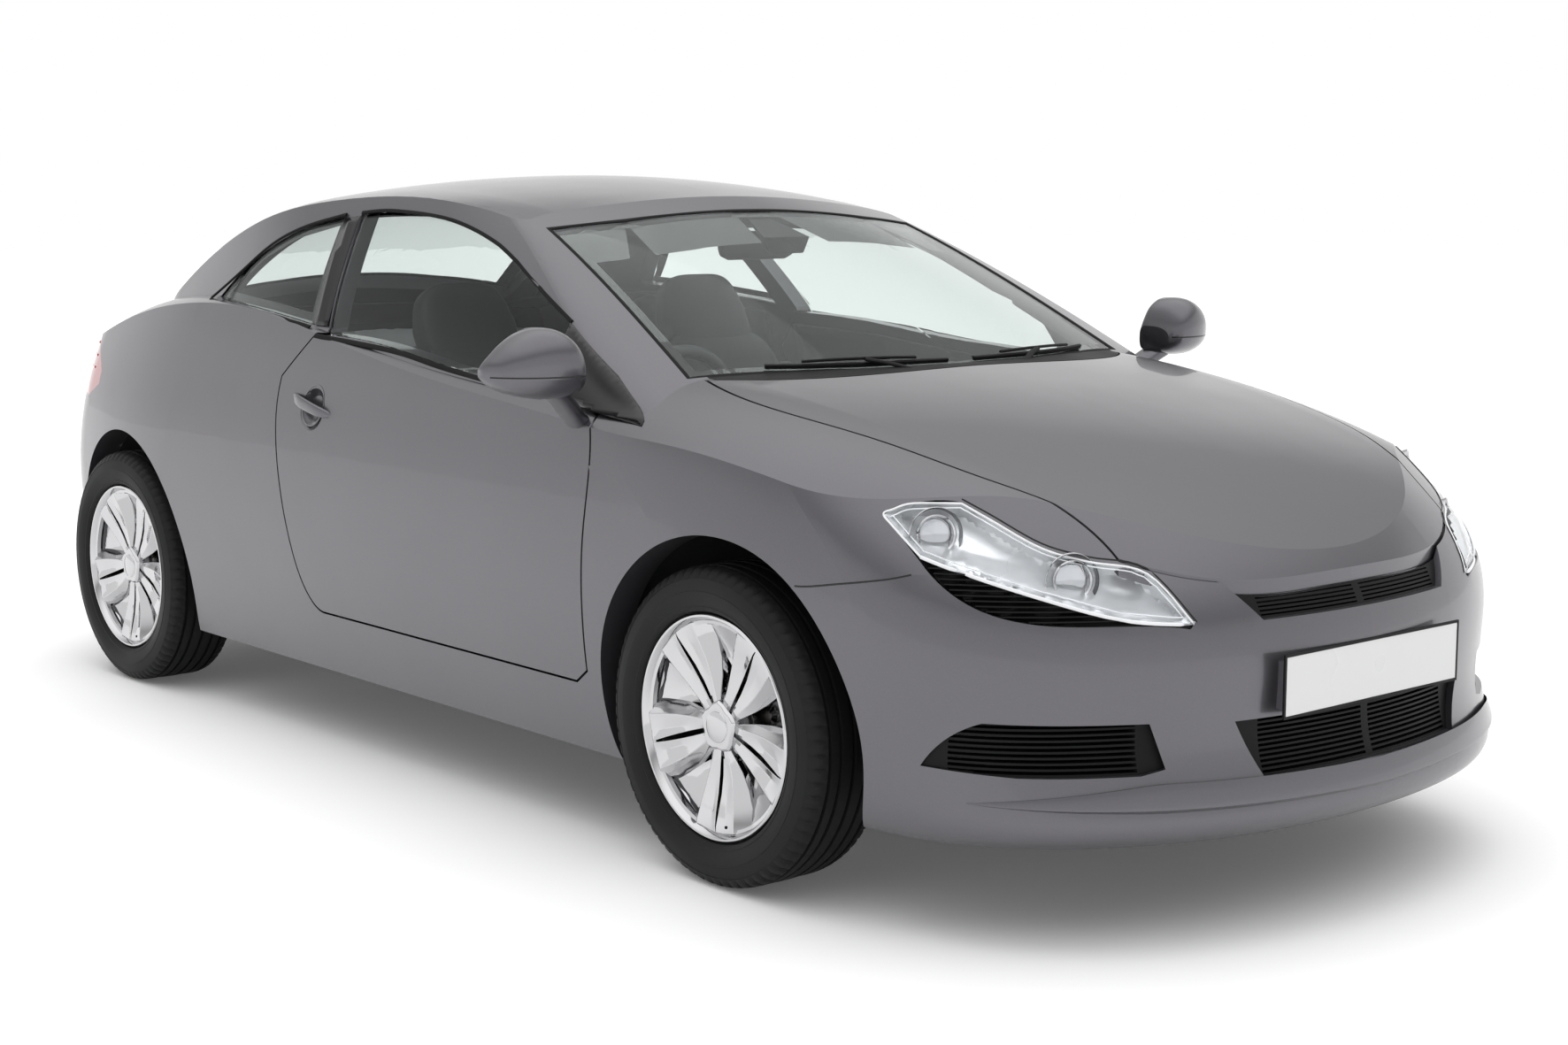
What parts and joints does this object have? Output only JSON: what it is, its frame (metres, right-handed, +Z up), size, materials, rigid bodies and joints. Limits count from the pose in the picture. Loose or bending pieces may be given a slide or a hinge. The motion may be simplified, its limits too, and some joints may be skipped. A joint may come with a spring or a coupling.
{
  "type": "coupe",
  "caption": "Two-door coupe with a long sloping windscreen, opening doors, bonnet and tailgate, steered front wheels and bladed alloy rims.",
  "frame": {"origin": "on the ground, half-way between the bumpers and the sides", "axes": "+X towards the nose, +Y towards the car's left, +Z up"},
  "size_m": [4.1507, 2.108, 1.3427],
  "materials": {
    "paint": "metallic gloss",
    "black_trim": "satin",
    "rubber_black": "matt",
    "glass": "clear, lightly tinted",
    "lamp_clear": "clear",
    "lamp_red": "gloss",
    "tyre": "matt",
    "alloy": "bright lacquered",
    "brake_iron": "machined",
    "cast_metal": "cast",
    "underbody": "matt coated",
    "exhaust_steel": "dull",
    "seat_cloth": "woven",
    "plate_white": "plain"
  },
  "bodies": {
    "root": {"floor_pan": "underbody", "front_bulkhead": "underbody", "front_subframe": "underbody", "rear_axle": "underbody", "exhaust": "exhaust_steel", "engine_block": "cast_metal", "windscreen": "glass", "roof_panel": "paint", "cowl_panel": "black_trim", "front_bumper": "paint", "rear_bumper": "paint", "upper_grille": "black_trim", "lower_grille": "black_trim", "front_plate": "plate_white", "rear_plate": "plate_white", "rear_bench": "seat_cloth", "dashboard": "black_trim", "centre_console": "black_trim", "body_side_left": "paint", "front_wing_left": "paint", "quarter_window_left": "glass", "headlamp_left": "lamp_clear", "tail_lamp_left": "lamp_red", "side_intake_left": "black_trim", "front_seat_left": "seat_cloth", "wiper_left": "rubber_black", "body_side_right": "paint", "front_wing_right": "paint", "quarter_window_right": "glass", "headlamp_right": "lamp_clear", "tail_lamp_right": "lamp_red", "side_intake_right": "black_trim", "front_seat_right": "seat_cloth", "wiper_right": "rubber_black"},
    "steering_wheel": {"steering_wheel": "black_trim"},
    "bonnet": {"bonnet": "paint"},
    "tailgate": {"tailgate": "paint", "tailgate_window": "glass"},
    "door_left": {"door_left": "paint", "door_glass_left": "glass", "door_mirror_left": "paint", "door_handle_left": "paint"},
    "knuckle_left": {"knuckle_left": "cast_metal"},
    "wheel_front_left": {"tyre_front_left": "tyre", "rim_front_left": "alloy", "brake_disc_front_left": "brake_iron"},
    "wheel_rear_left": {"tyre_rear_left": "tyre", "rim_rear_left": "alloy", "brake_disc_rear_left": "brake_iron"},
    "door_right": {"door_right": "paint", "door_glass_right": "glass", "door_mirror_right": "paint", "door_handle_right": "paint"},
    "knuckle_right": {"knuckle_right": "cast_metal"},
    "wheel_front_right": {"tyre_front_right": "tyre", "rim_front_right": "alloy", "brake_disc_front_right": "brake_iron"},
    "wheel_rear_right": {"tyre_rear_right": "tyre", "rim_rear_right": "alloy", "brake_disc_rear_right": "brake_iron"}
  },
  "joints": [
    {"name": "tailgate_hinge", "type": "hinge", "parent": "root", "child": "tailgate", "pos_m": [-0.939, 0, 1.307], "axis": [0, 1, 0], "range_deg": [0, 75]},
    {"name": "bonnet_hinge", "type": "hinge", "parent": "root", "child": "bonnet", "pos_m": [0.858, 0, 0.955], "axis": [0, -1, 0], "range_deg": [0, 50]},
    {"name": "steering_wheel_turn", "type": "hinge", "parent": "root", "child": "steering_wheel", "pos_m": [0.425, -0.37, 0.8], "axis": [-0.9272, 0, 0.3746], "range_deg": [-520, 520]},
    {"name": "door_left_hinge", "type": "hinge", "parent": "root", "child": "door_left", "pos_m": [0.787, 0.859, 0.6], "axis": [0, 0, -1], "range_deg": [0, 65]},
    {"name": "steer_left", "type": "hinge", "parent": "root", "child": "knuckle_left", "pos_m": [1.16, 0.69, 0.205], "axis": [0, -0.2135, 0.9769], "range_deg": [-32, 32]},
    {"name": "wheel_front_left_spin", "type": "hinge", "parent": "knuckle_left", "child": "wheel_front_left", "pos_m": [1.16, 0.7475, 0.308], "axis": [0, 1, 0], "continuous": true},
    {"name": "wheel_rear_left_spin", "type": "hinge", "parent": "root", "child": "wheel_rear_left", "pos_m": [-1.34, 0.7475, 0.308], "axis": [0, 1, 0], "continuous": true},
    {"name": "door_right_hinge", "type": "hinge", "parent": "root", "child": "door_right", "pos_m": [0.787, -0.859, 0.6], "axis": [0, 0, 1], "range_deg": [0, 65]},
    {"name": "steer_right", "type": "hinge", "parent": "root", "child": "knuckle_right", "pos_m": [1.16, -0.69, 0.205], "axis": [0, 0.2135, 0.9769], "range_deg": [-32, 32]},
    {"name": "wheel_front_right_spin", "type": "hinge", "parent": "knuckle_right", "child": "wheel_front_right", "pos_m": [1.16, -0.7475, 0.308], "axis": [0, 1, 0], "continuous": true},
    {"name": "wheel_rear_right_spin", "type": "hinge", "parent": "root", "child": "wheel_rear_right", "pos_m": [-1.34, -0.7475, 0.308], "axis": [0, 1, 0], "continuous": true}
  ],
  "couplings": [
    {"joint": "steer_right", "follows": "steer_left", "ratio": 1},
    {"joint": "steering_wheel_turn", "follows": "steer_left", "ratio": 16}
  ]
}
